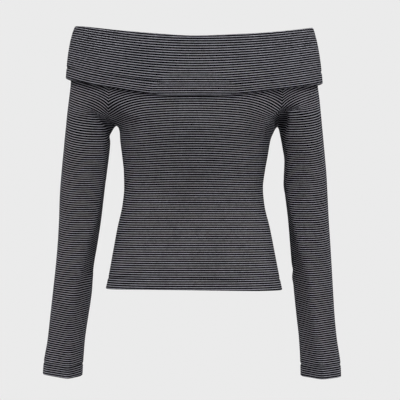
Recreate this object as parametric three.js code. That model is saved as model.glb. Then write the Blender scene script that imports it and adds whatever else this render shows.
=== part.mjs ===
// Off-the-shoulder long-sleeved jersey top, filled out as worn, with a wide fold-over band round the
// shoulders. Millimetres. +X is to the viewer's right, the front faces -Y, +Z is up. The origin is the
// middle of the neck opening, where the top is held on the shoulders.
import * as THREE from 'three';

// Cloth and sewing
const PLY = 1.2;                  // one layer of jersey
const DOUBLE_PLY = 2.4;           // a turned and stitched hem
const HEM_DEPTH = 18;             // body and band hems
const CUFF_DEPTH = 20;
const HEM_STEP = 1.5;             // height over which the turned cloth ends
const SEAM_GAP = 0.3;             // between two sewn pieces
const KNIT_COLOUR = 0x3a3b40;

// Overall heights
const BODY_HEM = { left: -417.2, right: -419.6, frontLift: 3 };
// Height of each cuff's middle, and its slopes towards the body and towards the back
const CUFFS = {
  left: { height: -563.9, inward: -0.064, back: 0.11 },
  right: { height: -566.5, inward: 0, back: 0.068 },
};
const FOLD_TOP_AT_SIDES = { left: 13.7, right: 11.6 };
const FOLD_DIP = { front: 20.7, back: 14.6 };  // how far the fold's top sinks from the sides to the middle
const FOLD_DIP_POWER = { left: 2, right: 1.6 }; // less is a sharper drop next to the arm
const FOLD_SAG = { depth: 1.4, halfWidth: 40 };  // a little more at the middle of the front
const NECK_HALF_DEPTH = 88;

// Torso: distances of the left, right, front and back of the section from the middle
const TORSO_POWER = 2.25;         // 2 is an ellipse, more is squarer
const TORSO = [
  { z: 16, left: 150, right: 152, front: 85, back: 85 },
  { z: -60, left: 158, right: 161, front: 98, back: 92 },
  { z: -110, left: 148, right: 155, front: 107, back: 91 },
  { z: -135, left: 133, right: 145, front: 111, back: 89.5 },
  { z: -150, left: 123.2, right: 137.4, front: 112, back: 88 },
  { z: -160, left: 121.6, right: 132.3, front: 111.5, back: 87.5 },
  { z: -173, left: 120.8, right: 127, front: 109.5, back: 86.5 },
  { z: -199, left: 117.6, right: 122.4, front: 103, back: 83.5 },
  { z: -226, left: 114.8, right: 117.5, front: 96, back: 81 },
  { z: -252, left: 114.3, right: 114.4, front: 90, back: 80 },
  { z: -279, left: 116.9, right: 116.7, front: 87.5, back: 82 },
  { z: -318, left: 125.4, right: 125.9, front: 88.5, back: 88 },
  { z: -358, left: 132.8, right: 133.8, front: 92.5, back: 97 },
  { z: -397, left: 140, right: 141.4, front: 96.5, back: 105 },
  { z: -418, left: 144.8, right: 146, front: 98.5, back: 109 },
];

// Sleeves: outer and inner edge from the middle of the body, the arm's middle behind the body's middle, and
// its half depth. Ridge is where the forearm's front ridge lies, as a share of the half width towards the
// body, and flat is how far the face outside it stands beyond a straight chord.
const SLEEVE_POWER = 2.1;
const NO_RIDGE = 1;
const SLEEVES = {
  left: [
    { z: 16, outer: 193.2, inner: 100, middle: 0, depth: 58, ridge: NO_RIDGE, flat: 40 },
    { z: 0, outer: 197.6, inner: 100, middle: 0, depth: 58, ridge: NO_RIDGE, flat: 40 },
    { z: -40, outer: 200.4, inner: 103, middle: 0, depth: 58, ridge: NO_RIDGE, flat: 40 },
    { z: -81, outer: 202.5, inner: 110, middle: 0, depth: 57, ridge: NO_RIDGE, flat: 40 },
    { z: -107, outer: 205.4, inner: 118, middle: 0, depth: 55, ridge: NO_RIDGE, flat: 40 },
    { z: -134, outer: 208.6, inner: 127, middle: 0, depth: 51.5, ridge: NO_RIDGE, flat: 40 },
    { z: -150, outer: 210.1, inner: 131.2, middle: 0, depth: 49.5, ridge: NO_RIDGE, flat: 40 },
    { z: -160, outer: 211.2, inner: 135.4, middle: 0.4, depth: 48.4, ridge: NO_RIDGE, flat: 40 },
    { z: -167, outer: 212, inner: 138.6, middle: 1, depth: 47.8, ridge: NO_RIDGE, flat: 40 },
    { z: -176, outer: 213, inner: 137.5, middle: 1.9, depth: 47, ridge: NO_RIDGE, flat: 40 },
    { z: -186, outer: 214, inner: 138.2, middle: 3, depth: 46.2, ridge: NO_RIDGE, flat: 40 },
    { z: -226, outer: 218.2, inner: 143.2, middle: 6.6, depth: 44.4, ridge: NO_RIDGE, flat: 40 },
    { z: -265, outer: 221.4, inner: 148.1, middle: 10, depth: 43, ridge: 0.97, flat: 40 },
    { z: -305, outer: 223, inner: 153.2, middle: 13.6, depth: 42, ridge: 0.86, flat: 34 },
    { z: -345, outer: 225.6, inner: 159.6, middle: 17, depth: 40.5, ridge: 0.64, flat: 21 },
    { z: -385, outer: 229.5, inner: 166.4, middle: 20.6, depth: 38.5, ridge: 0.38, flat: 10.5 },
    { z: -425, outer: 234.2, inner: 169.4, middle: 24, depth: 36.5, ridge: 0.18, flat: 6 },
    { z: -465, outer: 239, inner: 175.4, middle: 27.6, depth: 34.5, ridge: 0.17, flat: 3.5 },
    { z: -505, outer: 243.8, inner: 181.4, middle: 31, depth: 33, ridge: 0.3, flat: 3 },
    { z: -546, outer: 251, inner: 184.8, middle: 34.7, depth: 32.5, ridge: 0.37, flat: 3 },
    { z: -568, outer: 252.6, inner: 186.2, middle: 36.5, depth: 32.5, ridge: 0.37, flat: 3 },
  ],
  right: [
    { z: 16, outer: 194.2, inner: 100, middle: 0, depth: 58, ridge: NO_RIDGE, flat: 40 },
    { z: 0, outer: 198.2, inner: 101, middle: 0, depth: 58, ridge: NO_RIDGE, flat: 40 },
    { z: -40, outer: 201.4, inner: 105, middle: 0, depth: 58, ridge: NO_RIDGE, flat: 40 },
    { z: -81, outer: 204.6, inner: 114, middle: 0, depth: 57, ridge: NO_RIDGE, flat: 40 },
    { z: -107, outer: 207.8, inner: 122, middle: 0, depth: 55, ridge: NO_RIDGE, flat: 40 },
    { z: -134, outer: 210.4, inner: 133, middle: 0, depth: 51.5, ridge: NO_RIDGE, flat: 40 },
    { z: -150, outer: 211.9, inner: 139.6, middle: 0, depth: 49.5, ridge: NO_RIDGE, flat: 40 },
    { z: -160, outer: 212.9, inner: 141.9, middle: 0.4, depth: 48.4, ridge: NO_RIDGE, flat: 40 },
    { z: -186, outer: 215.6, inner: 147, middle: 3, depth: 46.2, ridge: NO_RIDGE, flat: 40 },
    { z: -208, outer: 217.8, inner: 150.2, middle: 5, depth: 45.2, ridge: NO_RIDGE, flat: 40 },
    { z: -226, outer: 219.5, inner: 149.6, middle: 6.6, depth: 44.4, ridge: NO_RIDGE, flat: 40 },
    { z: -245, outer: 220.8, inner: 148.6, middle: 8.3, depth: 43.7, ridge: 0.985, flat: 40 },
    { z: -265, outer: 221.9, inner: 151.4, middle: 10, depth: 43, ridge: 0.96, flat: 40 },
    { z: -305, outer: 224.2, inner: 156.6, middle: 13.6, depth: 42, ridge: 0.82, flat: 32 },
    { z: -345, outer: 227.1, inner: 160.2, middle: 17, depth: 40.5, ridge: 0.58, flat: 19 },
    { z: -385, outer: 229.8, inner: 163.6, middle: 20.6, depth: 38.5, ridge: 0.37, flat: 10.5 },
    { z: -425, outer: 232.4, inner: 167.2, middle: 24, depth: 36.5, ridge: 0.22, flat: 6 },
    { z: -465, outer: 235.2, inner: 171.5, middle: 27.6, depth: 34.5, ridge: 0.2, flat: 3.5 },
    { z: -505, outer: 239.4, inner: 176, middle: 31, depth: 33, ridge: 0.17, flat: 3 },
    { z: -546, outer: 245.8, inner: 178.4, middle: 34.7, depth: 32.5, ridge: 0.06, flat: 3 },
    { z: -568, outer: 247, inner: 179, middle: 36.5, depth: 32.5, ridge: 0.03, flat: 3 },
  ],
};
const FACE_EASE = 1.8;             // how far the forearm's inner face stands beyond its chord
const FACE_ROUNDING = 5;
const ROUND_FROM = 0.995;          // a ridge share above which the section is a plain oval
const OUTER_CHORD = { across: 0.96, forward: 0.28 };

// How sleeve and body run together: taut is the share of a taut oval round both, left and right are the
// widths over which torso and arm blend.
const OVAL_POWER = 2;
const JOIN = [
  { z: 16, taut: 1, left: 46, right: 44 },
  { z: -60, taut: 1, left: 46, right: 44 },
  { z: -85, taut: 0.82, left: 42, right: 38 },
  { z: -105, taut: 0.5, left: 36, right: 30 },
  { z: -120, taut: 0.24, left: 29, right: 22 },
  { z: -134, taut: 0.08, left: 23, right: 15 },
  { z: -146, taut: 0, left: 17, right: 9 },
  { z: -160, taut: 0, left: 16, right: 8 },
];

// Armhole seams: how far from the middle, near the armpit and towards the neck, and the rises over which
// they turn out of the armpit and lean from low to high
const ARMHOLES = {
  left: { low: 141.2, high: 131 },
  right: { low: 140.8, high: 145 },
};
const ARMHOLE_TURN = 7;
const ARMHOLE_LEAN = 60;
const ARMPIT_SEARCH = { inside: 110, outside: 160, step: 0.2, high: -110, low: -190, halvings: 30 };

// Soft creases in the jersey, seen from the front: from one end to the other, with their half width and
// depth
const CREASES = [
  { face: 'front', x0: -96, z0: -146, x1: -104, z1: -186, width: 9, depth: 2.6 },
  { face: 'front', x0: -68, z0: -170, x1: -88, z1: -232, width: 9, depth: 2.2 },
  { face: 'front', x0: 106, z0: -140, x1: 106, z1: -210, width: 9, depth: 2.2 },
  { face: 'front', x0: 84, z0: -150, x1: 93, z1: -212, width: 8, depth: 1.4 },
  { face: 'back', x0: -98, z0: -150, x1: -66, z1: -214, width: 10, depth: 2.6 },
  { face: 'back', x0: 104, z0: -146, x1: 70, z1: -206, width: 10, depth: 2.6 },
  { face: 'back', x0: -74, z0: -262, x1: 40, z1: -278, width: 12, depth: 3 },
  { face: 'back', x0: -36, z0: -306, x1: 78, z1: -292, width: 12, depth: 2.6 },
];
const CREASE_FADE = 35;           // distance from the side plane over which a crease fades in

// Fold-over band: how far it hangs and how far it stands off what is under it
const BAND_BOTTOM_AT_SIDES = { left: -72, right: -80.5 };
const BAND_BOTTOM = { front: -106.5, back: -95 };
const BAND_BOTTOM_POWER = 1.75;
const BAND_HALF_DEPTH = { front: 104, back: 94 };
const BAND_CLEARANCE = 0.6;
const BAND_LEG = 16;              // the sewn allowance that hangs inside the neck
// Drop below the fold, and the outer face's distance from the pieces under it
const BAND_STANDS_OFF = [
  { drop: 0, middle: 1.8, side: 1.8 },
  { drop: 12, middle: 2.2, side: 2.6 },
  { drop: 25, middle: 3, side: 4.6 },
  { drop: 50, middle: 4, side: 7.2 },
  { drop: 95, middle: 5.4, side: 8.8 },
];
const BAND_SIDE_REACH = 200;

// How finely each piece is faceted
const PANEL_COLUMNS = 20;
const SLEEVE_COLUMNS = 18;
const ROWS_ABOVE_ARMPIT = [3, 8, 15, 25, 38, 56, 78, 102, 126, 147, 163];
const ROWS_BELOW_ARMPIT = [0, 6, 15, 28, 45];
const ROW_HEIGHT = 24;
const BAND_ROWS = 4;
const FOLD_STEPS = 4;
const TRACE_STEP = 1.5;
const TRACE_LIMIT = 1000;          // steps
const SETTLE_TURNS = 3;
const NORMAL_STEP = 0.2;
const SLOPE_STEP = 0.05;

const SIDES = { left: -1, right: 1 };
const mix = (a, b, share) => a + (b - a) * share;
const sideOf = (x) => (x < 0 ? 'left' : 'right');
const faceOf = (y) => (y < 0 ? 'front' : 'back');

// Smooth value of one column of a table at a given place in its first column
function along(table, column, place, key = 'z') {
  const rising = table[table.length - 1][key] > table[0][key];
  const rows = rising ? table : [...table].reverse();
  const at = Math.min(Math.max(place, rows[0][key]), rows[rows.length - 1][key]);
  let i = 0;
  while (i < rows.length - 2 && at > rows[i + 1][key]) i += 1;
  const slope = (j) => (rows[j + 1][column] - rows[j][column]) / (rows[j + 1][key] - rows[j][key]);
  const tangent = (j) => {
    if (j === 0) return slope(0);
    if (j === rows.length - 1) return slope(j - 1);
    const before = slope(j - 1);
    const after = slope(j);
    return before * after <= 0 ? 0 : (2 * before * after) / (before + after);
  };
  const span = rows[i + 1][key] - rows[i][key];
  const t = (at - rows[i][key]) / span;
  const a = rows[i][column];
  const b = rows[i + 1][column];
  return a * (1 + 2 * t) * (1 - t) ** 2 + b * t * t * (3 - 2 * t)
    + span * (tangent(i) * t * (1 - t) ** 2 - tangent(i + 1) * t * t * (1 - t));
}

const softMin = (a, b, width) => {
  const share = Math.max(width - Math.abs(a - b), 0) / width;
  return Math.min(a, b) - (share * share * width) / 4;
};
const softMax = (a, b, width) => -softMin(-a, -b, width);

// Distance outside an oval along the ray from its middle, negative inside
function ovalField(x, y, halfX, halfY, power) {
  const reach = Math.hypot(x, y);
  if (reach === 0) return -Math.min(halfX, halfY);
  const share = (Math.abs(x / halfX) ** power + Math.abs(y / halfY) ** power) ** (1 / power);
  return reach - reach / share;
}

function torsoField(x, y, z) {
  return ovalField(x, y, along(TORSO, sideOf(x), z), along(TORSO, faceOf(y), z), TORSO_POWER);
}

// A straight face through a front ridge at (ridgeX, ridgeY) and another point, with the front ridge's side
// outside
function faceField(p, ridge, other, ease) {
  const dx = ridge[0] - other[0];
  const dy = ridge[1] - other[1];
  const length = Math.hypot(dx, dy);
  const outward = dx > 0 ? 1 : -1;
  return (outward * (dy * (p[0] - ridge[0]) - dx * (p[1] - ridge[1]))) / length - ease;
}

function armField(x, y, z, side) {
  const table = SLEEVES[side];
  const outer = along(table, 'outer', z);
  const inner = along(table, 'inner', z);
  const depth = along(table, 'depth', z);
  const half = (outer - inner) / 2;
  const inward = (outer + inner) / 2 - SIDES[side] * x;
  const p = [inward, y - along(table, 'middle', z)];
  const round = ovalField(p[0], p[1], half, depth, SLEEVE_POWER);
  const ridgeShare = along(table, 'ridge', z);
  if (ridgeShare > ROUND_FROM) return round;
  const ridge = [ridgeShare * half, -depth * (1 - ridgeShare ** 2) ** 0.5];
  const outerEnd = [-OUTER_CHORD.across * half, -OUTER_CHORD.forward * depth];
  const innerFace = faceField(p, ridge, [half, 0], FACE_EASE);
  const outerFace = faceField(p, ridge, outerEnd, along(table, 'flat', z));
  return softMax(softMax(round, innerFace, FACE_ROUNDING), outerFace, FACE_ROUNDING);
}

// The whole filled-out form: negative inside, zero on the cloth's outer face
function formField(x, y, z) {
  const side = sideOf(x);
  const union = softMin(torsoField(x, y, z), armField(x, y, z, side), along(JOIN, side, z));
  const taut = along(JOIN, 'taut', z);
  if (taut === 0) return union;
  const halfWidth = along(SLEEVES[side], 'outer', z);
  const oval = ovalField(x, y, halfWidth, along(TORSO, faceOf(y), z), OVAL_POWER);
  return mix(union, oval, taut);
}

function formNormal(p) {
  const normal = new THREE.Vector3(
    formField(p.x + NORMAL_STEP, p.y, p.z) - formField(p.x - NORMAL_STEP, p.y, p.z),
    formField(p.x, p.y + NORMAL_STEP, p.z) - formField(p.x, p.y - NORMAL_STEP, p.z),
    formField(p.x, p.y, p.z + NORMAL_STEP) - formField(p.x, p.y, p.z - NORMAL_STEP),
  );
  return normal.normalize();
}

// The armpit: the highest point of the open gap between arm and torso
function findArmpit(side) {
  const widest = (z) => {
    let best = { value: -Infinity, x: 0 };
    for (let x = ARMPIT_SEARCH.inside; x < ARMPIT_SEARCH.outside; x += ARMPIT_SEARCH.step) {
      const value = formField(SIDES[side] * x, 0, z);
      if (value > best.value) best = { value, x: SIDES[side] * x };
    }
    return best;
  };
  let { high, low } = ARMPIT_SEARCH;
  for (let i = 0; i < ARMPIT_SEARCH.halvings; i += 1) {
    const z = (high + low) / 2;
    if (widest(z).value > 0) low = z;
    else high = z;
  }
  return new THREE.Vector3(widest(low).x, 0, low);
}
const ARMPITS = { left: findArmpit('left'), right: findArmpit('right') };

// Heights that the rows of all pieces share
const acrossBody = (x) => THREE.MathUtils.smoothstep(x, ARMPITS.left.x, ARMPITS.right.x);
const armpitHeight = (x) => mix(ARMPITS.left.z, ARMPITS.right.z, acrossBody(x));
function foldTop(x, y) {
  const sides = mix(FOLD_TOP_AT_SIDES.left, FOLD_TOP_AT_SIDES.right, acrossBody(x));
  const power = mix(FOLD_DIP_POWER.left, FOLD_DIP_POWER.right, acrossBody(x));
  const sag = y < 0 ? FOLD_SAG.depth * Math.exp(-((x / FOLD_SAG.halfWidth) ** 2)) : 0;
  return sides - FOLD_DIP[faceOf(y)] * Math.abs(y / NECK_HALF_DEPTH) ** power - sag;
}
const FOLD_HALF = PLY + BAND_CLEARANCE + PLY / 2;
const neckEdge = (x, y) => foldTop(x, y) - FOLD_HALF;
function bodyHem(x, y) {
  const level = mix(BODY_HEM.left, BODY_HEM.right, acrossBody(x));
  return y < 0 ? level + BODY_HEM.frontLift * (y / along(TORSO, 'front', level)) ** 2 : level;
}
const cuffEdge = (side) => (x, y) => {
  const cuff = CUFFS[side];
  const table = SLEEVES[side];
  const middleX = (along(table, 'outer', cuff.height) + along(table, 'inner', cuff.height)) / 2;
  const inward = middleX - SIDES[side] * x;
  return cuff.height + cuff.inward * inward + cuff.back * (y - along(table, 'middle', cuff.height));
};
const rowAbove = (share) => (x, y) => mix(armpitHeight(x), neckEdge(x, y), share);
const rowBelow = (share, floor) => (x, y) => mix(armpitHeight(x), floor(x, y), share);

function armholeX(side, z) {
  const armpit = ARMPITS[side];
  const rise = Math.max(z - armpit.z, 0);
  const line = mix(ARMHOLES[side].high, ARMHOLES[side].low, Math.exp(-rise / ARMHOLE_LEAN));
  const reach = line + (Math.abs(armpit.x) - line) * Math.exp(-rise / ARMHOLE_TURN);
  return SIDES[side] * reach;
}

// Walks round the form at a row's height from a starting point, until the stop value falls to zero
function trace(height, start, turn, stop, inset) {
  const field = (x, y) => formField(x, y, height(x, y)) + inset;
  const gradient = (x, y) => [
    (field(x + SLOPE_STEP, y) - field(x - SLOPE_STEP, y)) / (2 * SLOPE_STEP),
    (field(x, y + SLOPE_STEP) - field(x, y - SLOPE_STEP)) / (2 * SLOPE_STEP),
  ];
  const settle = (x, y) => {
    let at = [x, y];
    for (let i = 0; i < SETTLE_TURNS; i += 1) {
      const g = gradient(at[0], at[1]);
      const move = field(at[0], at[1]) / (g[0] ** 2 + g[1] ** 2);
      at = [at[0] - g[0] * move, at[1] - g[1] * move];
    }
    return at;
  };
  const points = [settle(start[0], start[1])];
  let last = points[0];
  for (let count = 0; count < TRACE_LIMIT; count += 1) {
    const g = gradient(last[0], last[1]);
    const stride = (turn * TRACE_STEP) / Math.hypot(g[0], g[1]);
    const next = settle(last[0] - stride * g[1], last[1] + stride * g[0]);
    const before = stop(last[0], last[1]);
    const after = stop(next[0], next[1]);
    if (after <= 0) {
      const share = before / (before - after);
      points.push(settle(mix(last[0], next[0], share), mix(last[1], next[1], share)));
      return points;
    }
    points.push(next);
    last = next;
  }
  throw new Error('a row did not close');
}

// Evenly spaced points along a traced line
function spread(points, count) {
  const lengths = [0];
  for (let i = 1; i < points.length; i += 1) {
    const [across, back] = [0, 1].map((k) => points[i][k] - points[i - 1][k]);
    lengths.push(lengths[i - 1] + Math.hypot(across, back));
  }
  const total = lengths[lengths.length - 1];
  const spaced = [];
  let i = 1;
  for (let k = 0; k <= count; k += 1) {
    const at = (total * k) / count;
    while (i < points.length - 1 && lengths[i] < at) i += 1;
    const share = (at - lengths[i - 1]) / (lengths[i] - lengths[i - 1]);
    spaced.push([mix(points[i - 1][0], points[i][0], share), mix(points[i - 1][1], points[i][1], share)]);
  }
  return spaced;
}

// One row of a piece: from its start point the line is walked both ways, and the two halves are joined
function twoWays(height, start, stops, columns, inset) {
  const backwards = spread(trace(height, start, -1, stops[0], inset), columns / 2).reverse();
  const forwards = spread(trace(height, start, 1, stops[1], inset), columns / 2);
  const row = [...backwards, ...forwards.slice(1)];
  return row.map(([x, y]) => new THREE.Vector3(x, y, height(x, y)));
}

// Parts arm and torso just enough to walk round them at the armpit's own height
const ARMPIT_INSET = 0.02;
const isAbove = (kind) => kind === 'above';

// A panel's row, left to right on the front and right to left on the back
function panelRow(face, kind, height) {
  const front = face === 'front';
  const facing = front ? -1 : 1;
  const toSeam = (side) => (x, y) => SIDES[side] * (armholeX(side, height(x, y)) - x);
  const toSide = (x, y) => facing * y;
  const stop = (side) => (isAbove(kind) ? toSeam(side) : toSide);
  const start = [0, facing * along(TORSO, face, height(0, facing * NECK_HALF_DEPTH))];
  const order = front ? ['left', 'right'] : ['right', 'left'];
  const row = twoWays(height, start, order.map(stop), PANEL_COLUMNS, kind === 'armpit' ? ARMPIT_INSET : 0);
  if (kind === 'armpit') {
    row[0].copy(ARMPITS[order[0]]);
    row[row.length - 1].copy(ARMPITS[order[1]]);
  }
  return row;
}

// A sleeve's row, from its front seam or underarm, round the outside and back again
function sleeveRow(side, kind, height) {
  const sign = SIDES[side];
  const table = SLEEVES[side];
  const roughly = height(sign * along(table, 'outer', ARMPITS[side].z), 0);
  const z = height(sign * along(table, 'outer', roughly), 0);
  const middle = along(table, 'middle', z);
  const middleX = (along(table, 'outer', z) + along(table, 'inner', z)) / 2;
  const toSeam = (x, y) => sign * (x - armholeX(side, height(x, y)));
  const toUnderarm = (facing) => (x, y) => (sign * x > middleX ? 1 : facing * (y - middle));
  const stop = (facing) => (isAbove(kind) ? toSeam : toUnderarm(facing));
  const stops = side === 'right' ? [stop(-1), stop(1)] : [stop(1), stop(-1)];
  const start = [sign * along(table, 'outer', z), middle];
  const row = twoWays(height, start, stops, SLEEVE_COLUMNS, kind === 'armpit' ? ARMPIT_INSET : 0);
  if (side === 'left') row.reverse();
  if (kind === 'armpit') {
    row[0].copy(ARMPITS[side]);
    row[row.length - 1].copy(ARMPITS[side]);
  }
  return row;
}

// Depth of the creases at a point of the cloth
function creaseDepth(p) {
  const fade = THREE.MathUtils.smoothstep(Math.abs(p.y), 0, CREASE_FADE);
  let depth = 0;
  for (const crease of CREASES) {
    if (crease.face !== faceOf(p.y)) continue;
    const alongX = crease.x1 - crease.x0;
    const alongZ = crease.z1 - crease.z0;
    const share = ((p.x - crease.x0) * alongX + (p.z - crease.z0) * alongZ) / (alongX ** 2 + alongZ ** 2);
    const near = THREE.MathUtils.clamp(share, 0, 1);
    const away = Math.hypot(p.x - crease.x0 - near * alongX, p.z - crease.z0 - near * alongZ);
    depth += crease.depth * Math.exp(-((away / crease.width) ** 2)) * (1 - Math.abs(2 * near - 1) ** 3);
  }
  return depth * fade;
}

// Outer and inner face of a wall from its rows of points on the form; thickness depends on the row
function wallFaces(rows, thicknesses) {
  const outer = [];
  const inner = [];
  rows.forEach((row, i) => {
    const normals = row.map(formNormal);
    outer.push(row.map((p, j) => p.clone().addScaledVector(normals[j], -creaseDepth(p))));
    inner.push(outer[i].map((p, j) => p.clone().addScaledVector(normals[j], -thicknesses[i])));
  });
  return { outer, inner };
}

// Draws a seam's edge back into its own piece, square to the seam in the cloth's own surface, so that the
// pieces on both sides of it part evenly. Both faces of the wall move alike.
function drawBack(faces, rows, column, neighbour, firstRow = 0) {
  for (let i = firstRow; i < rows.length; i += 1) {
    const before = rows[Math.max(i - 1, firstRow)][column];
    const after = rows[Math.min(i + 1, rows.length - 1)][column];
    const seam = after.clone().sub(before).normalize();
    const square = formNormal(rows[i][column]).cross(seam).normalize();
    const towards = rows[i][neighbour].clone().sub(rows[i][column]);
    const move = square.multiplyScalar((Math.sign(square.dot(towards)) * SEAM_GAP) / 2);
    faces.outer[i][column].add(move);
    faces.inner[i][column].add(move);
  }
}

// One closed body from an outer and an inner face with the same rows and columns. Rows up to tubeRows are
// closed rings: their last column is their first.
function closeWall(faces, tubeRows = 0) {
  const { outer, inner } = faces;
  const rows = outer.length;
  const columns = outer[0].length;
  const positions = [];
  const index = (face, i, j) => {
    const column = i < tubeRows && j === columns - 1 ? 0 : j;
    return (face * rows + i) * columns + column;
  };
  for (const face of [outer, inner]) {
    for (const row of face) {
      for (const p of row) positions.push(p.x, p.y, p.z);
    }
  }
  const triangles = [];
  const quad = (a, b, c, d) => triangles.push(a, b, c, a, c, d);
  for (let i = 0; i < rows - 1; i += 1) {
    for (let j = 0; j < columns - 1; j += 1) {
      quad(index(0, i, j), index(0, i, j + 1), index(0, i + 1, j + 1), index(0, i + 1, j));
      quad(index(1, i, j), index(1, i + 1, j), index(1, i + 1, j + 1), index(1, i, j + 1));
    }
  }
  for (let j = 0; j < columns - 1; j += 1) {
    quad(index(0, 0, j), index(1, 0, j), index(1, 0, j + 1), index(0, 0, j + 1));
    quad(index(0, rows - 1, j + 1), index(1, rows - 1, j + 1), index(1, rows - 1, j), index(0, rows - 1, j));
  }
  // Both ends are split along the same diagonal, so that two pieces' twisted ends lie flush along their
  // seam
  for (let i = Math.max(tubeRows - 1, 0); i < rows - 1; i += 1) {
    const last = columns - 1;
    quad(index(0, i, 0), index(0, i + 1, 0), index(1, i + 1, 0), index(1, i, 0));
    quad(index(0, i, last), index(1, i, last), index(1, i + 1, last), index(0, i + 1, last));
  }
  return orientOutward(positions, triangles);
}

// A geometry with only the points in use, its faces turned outward
function orientOutward(positions, triangles) {
  const at = (i) => new THREE.Vector3(positions[3 * i], positions[3 * i + 1], positions[3 * i + 2]);
  let volume = 0;
  for (let i = 0; i < triangles.length; i += 3) {
    const [a, b, c] = [at(triangles[i]), at(triangles[i + 1]), at(triangles[i + 2])];
    volume += a.dot(b.cross(c)) / 6;
  }
  const turned = volume > 0 ? triangles : [...triangles].reverse();
  const used = new Map();
  const kept = [];
  const renumbered = turned.map((i) => {
    if (!used.has(i)) {
      used.set(i, used.size);
      kept.push(positions[3 * i], positions[3 * i + 1], positions[3 * i + 2]);
    }
    return used.get(i);
  });
  const geometry = new THREE.BufferGeometry();
  geometry.setAttribute('position', new THREE.Float32BufferAttribute(kept, 3));
  geometry.setIndex(renumbered);
  geometry.computeVertexNormals();
  return geometry;
}

// The rows of a piece from its lower edge to the neck, and the wall's thickness at each
function rowPlan(floorDrop, hemDepth) {
  const below = [...ROWS_BELOW_ARMPIT];
  const toHem = floorDrop - hemDepth - HEM_STEP;
  const last = below[below.length - 1];
  const count = Math.round((toHem - last) / ROW_HEIGHT);
  for (let i = 1; i <= count; i += 1) below.push(mix(last, toHem, i / count));
  below.push(floorDrop - hemDepth, floorDrop);
  const plan = below.reverse().map((drop) => ({
    kind: drop === 0 ? 'armpit' : 'below',
    share: drop / floorDrop,
    thickness: drop >= floorDrop - hemDepth ? DOUBLE_PLY : PLY,
  }));
  const top = ROWS_ABOVE_ARMPIT[ROWS_ABOVE_ARMPIT.length - 1];
  for (const rise of ROWS_ABOVE_ARMPIT) plan.push({ kind: 'above', share: rise / top, thickness: PLY });
  return plan;
}
const heightOf = (row, floor) => (isAbove(row.kind) ? rowAbove(row.share) : rowBelow(row.share, floor));

function makePanel(face) {
  const plan = rowPlan(ARMPITS.left.z - BODY_HEM.left, HEM_DEPTH);
  const rows = plan.map((row) => panelRow(face, row.kind, heightOf(row, bodyHem)));
  const faces = wallFaces(rows, plan.map((row) => row.thickness));
  const armpitRow = plan.findIndex((row) => row.kind === 'armpit');
  const facing = face === 'front' ? -1 : 1;
  for (const [column, neighbour] of [[0, 1], [PANEL_COLUMNS, PANEL_COLUMNS - 1]]) {
    drawBack(faces, rows, column, neighbour);
    for (const surface of [faces.outer, faces.inner]) {
      surface[armpitRow][column].y += facing * SEAM_GAP / 2;
    }
  }
  return closeWall(faces);
}

function makeSleeve(side) {
  const plan = rowPlan(ARMPITS[side].z - CUFFS[side].height, CUFF_DEPTH);
  const rows = plan.map((row) => sleeveRow(side, row.kind, heightOf(row, cuffEdge(side))));
  const faces = wallFaces(rows, plan.map((row) => row.thickness));
  const armpitRow = plan.findIndex((row) => row.kind === 'armpit');
  drawBack(faces, rows, 0, 1, armpitRow);
  drawBack(faces, rows, SLEEVE_COLUMNS, SLEEVE_COLUMNS - 1, armpitRow);
  return closeWall(faces, armpitRow + 1);
}

// One row of the form from the left outer arm over the front, or from the right outer arm over the back, in
// the same columns as the pieces under it
function bandColumns(face, height) {
  const half = SLEEVE_COLUMNS / 2;
  const left = sleeveRow('left', 'above', height);
  const right = sleeveRow('right', 'above', height);
  const panel = panelRow(face, 'above', height);
  if (face === 'front') {
    return [...left.slice(0, half + 1).reverse(), ...panel.slice(1), ...right.slice(1, half + 1)];
  }
  return [...right.slice(half), ...panel.slice(1), ...left.slice(half, -1).reverse()];
}

function bandBottom(x, y) {
  const face = faceOf(y);
  const sides = mix(BAND_BOTTOM_AT_SIDES.left, BAND_BOTTOM_AT_SIDES.right, acrossBody(x));
  const share = Math.min(Math.abs(y / BAND_HALF_DEPTH[face]), 1) ** BAND_BOTTOM_POWER;
  return mix(sides, BAND_BOTTOM[face], share);
}

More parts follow.
